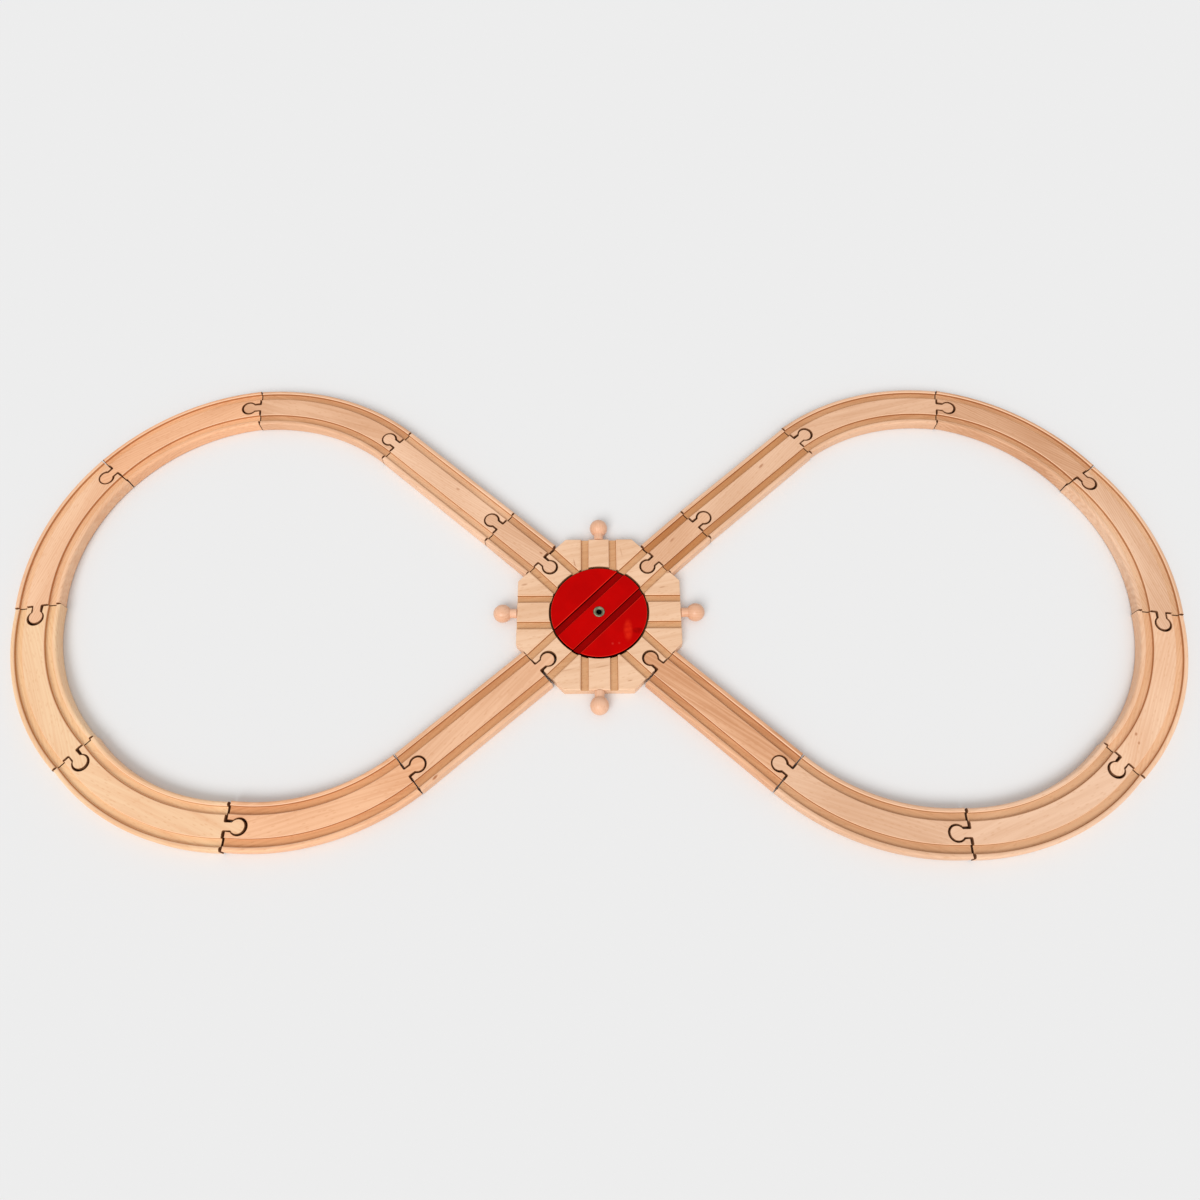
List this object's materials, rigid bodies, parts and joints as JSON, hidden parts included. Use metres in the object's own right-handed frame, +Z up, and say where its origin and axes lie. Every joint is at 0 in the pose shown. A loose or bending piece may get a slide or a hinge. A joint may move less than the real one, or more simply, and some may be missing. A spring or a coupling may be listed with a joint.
{
  "type": "wooden train track",
  "caption": "Wooden toy train track of grooved straight and curved boards with jigsaw ends, laid in crossing loops round an octagonal turntable with a red turning disc.",
  "frame": {"origin": "middle of the layout's outline, on the floor that the boards lie on", "axes": "+X along the layout from the left loop to the right one, +Y towards the side with the adapter boards, +Z up"},
  "size_m": [1.0732, 0.4724, 0.0169],
  "materials": {
    "track_beech": "sanded beech, thin clear oil",
    "turntable_beech": "sanded pale beech",
    "peg_beech": "turned steamed beech",
    "red_lacquer": "glossy red lacquer on wood",
    "rivet_brass": "dull antique brass"
  },
  "bodies": {
    "turntable": {"turntable_base": "turntable_beech", "pivot_rivet": "rivet_brass", "pivot_washer": "rivet_brass", "connector_peg_east": "peg_beech", "connector_peg_north": "peg_beech", "connector_peg_west": "peg_beech", "connector_peg_south": "peg_beech"},
    "disc": {"turntable_disc": "red_lacquer"},
    "left_adapter": {"left_adapter": "track_beech"},
    "left_top_straight": {"left_top_straight": "track_beech"},
    "left_curve_1": {"left_curve_1": "track_beech"},
    "left_curve_2": {"left_curve_2": "track_beech"},
    "left_curve_3": {"left_curve_3": "track_beech"},
    "left_curve_4": {"left_curve_4": "track_beech"},
    "left_curve_5": {"left_curve_5": "track_beech"},
    "left_curve_6": {"left_curve_6": "track_beech"},
    "left_bottom_straight": {"left_bottom_straight": "track_beech"},
    "right_adapter": {"right_adapter": "track_beech"},
    "right_top_straight": {"right_top_straight": "track_beech"},
    "right_curve_1": {"right_curve_1": "track_beech"},
    "right_curve_2": {"right_curve_2": "track_beech"},
    "right_curve_3": {"right_curve_3": "track_beech"},
    "right_curve_4": {"right_curve_4": "track_beech"},
    "right_curve_5": {"right_curve_5": "track_beech"},
    "right_curve_6": {"right_curve_6": "track_beech"},
    "right_bottom_straight": {"right_bottom_straight": "track_beech"}
  },
  "joints": [
    {"name": "turntable_spin", "type": "hinge", "parent": "turntable", "child": "disc", "pos_m": [0.00159, -0.0156, 0.0085], "axis": [0, 0, 1], "continuous": true},
    {"name": "left_adapter_lift", "type": "slide", "parent": "turntable", "child": "left_adapter", "axis": [0, 0, 1], "range_m": [0, 0.03]},
    {"name": "left_top_straight_lift", "type": "slide", "parent": "turntable", "child": "left_top_straight", "axis": [0, 0, 1], "range_m": [0, 0.03]},
    {"name": "left_curve_1_lift", "type": "slide", "parent": "turntable", "child": "left_curve_1", "axis": [0, 0, 1], "range_m": [0, 0.03]},
    {"name": "left_curve_2_lift", "type": "slide", "parent": "turntable", "child": "left_curve_2", "axis": [0, 0, 1], "range_m": [0, 0.03]},
    {"name": "left_curve_3_lift", "type": "slide", "parent": "turntable", "child": "left_curve_3", "axis": [0, 0, 1], "range_m": [0, 0.03]},
    {"name": "left_curve_4_lift", "type": "slide", "parent": "turntable", "child": "left_curve_4", "axis": [0, 0, 1], "range_m": [0, 0.03]},
    {"name": "left_curve_5_lift", "type": "slide", "parent": "turntable", "child": "left_curve_5", "axis": [0, 0, 1], "range_m": [0, 0.03]},
    {"name": "left_curve_6_lift", "type": "slide", "parent": "turntable", "child": "left_curve_6", "axis": [0, 0, 1], "range_m": [0, 0.03]},
    {"name": "left_bottom_straight_lift", "type": "slide", "parent": "turntable", "child": "left_bottom_straight", "axis": [0, 0, 1], "range_m": [0, 0.03]},
    {"name": "right_adapter_lift", "type": "slide", "parent": "turntable", "child": "right_adapter", "axis": [0, 0, 1], "range_m": [0, 0.03]},
    {"name": "right_top_straight_lift", "type": "slide", "parent": "turntable", "child": "right_top_straight", "axis": [0, 0, 1], "range_m": [0, 0.03]},
    {"name": "right_curve_1_lift", "type": "slide", "parent": "turntable", "child": "right_curve_1", "axis": [0, 0, 1], "range_m": [0, 0.03]},
    {"name": "right_curve_2_lift", "type": "slide", "parent": "turntable", "child": "right_curve_2", "axis": [0, 0, 1], "range_m": [0, 0.03]},
    {"name": "right_curve_3_lift", "type": "slide", "parent": "turntable", "child": "right_curve_3", "axis": [0, 0, 1], "range_m": [0, 0.03]},
    {"name": "right_curve_4_lift", "type": "slide", "parent": "turntable", "child": "right_curve_4", "axis": [0, 0, 1], "range_m": [0, 0.03]},
    {"name": "right_curve_5_lift", "type": "slide", "parent": "turntable", "child": "right_curve_5", "axis": [0, 0, 1], "range_m": [0, 0.03]},
    {"name": "right_curve_6_lift", "type": "slide", "parent": "turntable", "child": "right_curve_6", "axis": [0, 0, 1], "range_m": [0, 0.03]},
    {"name": "right_bottom_straight_lift", "type": "slide", "parent": "turntable", "child": "right_bottom_straight", "axis": [0, 0, 1], "range_m": [0, 0.03]}
  ]
}
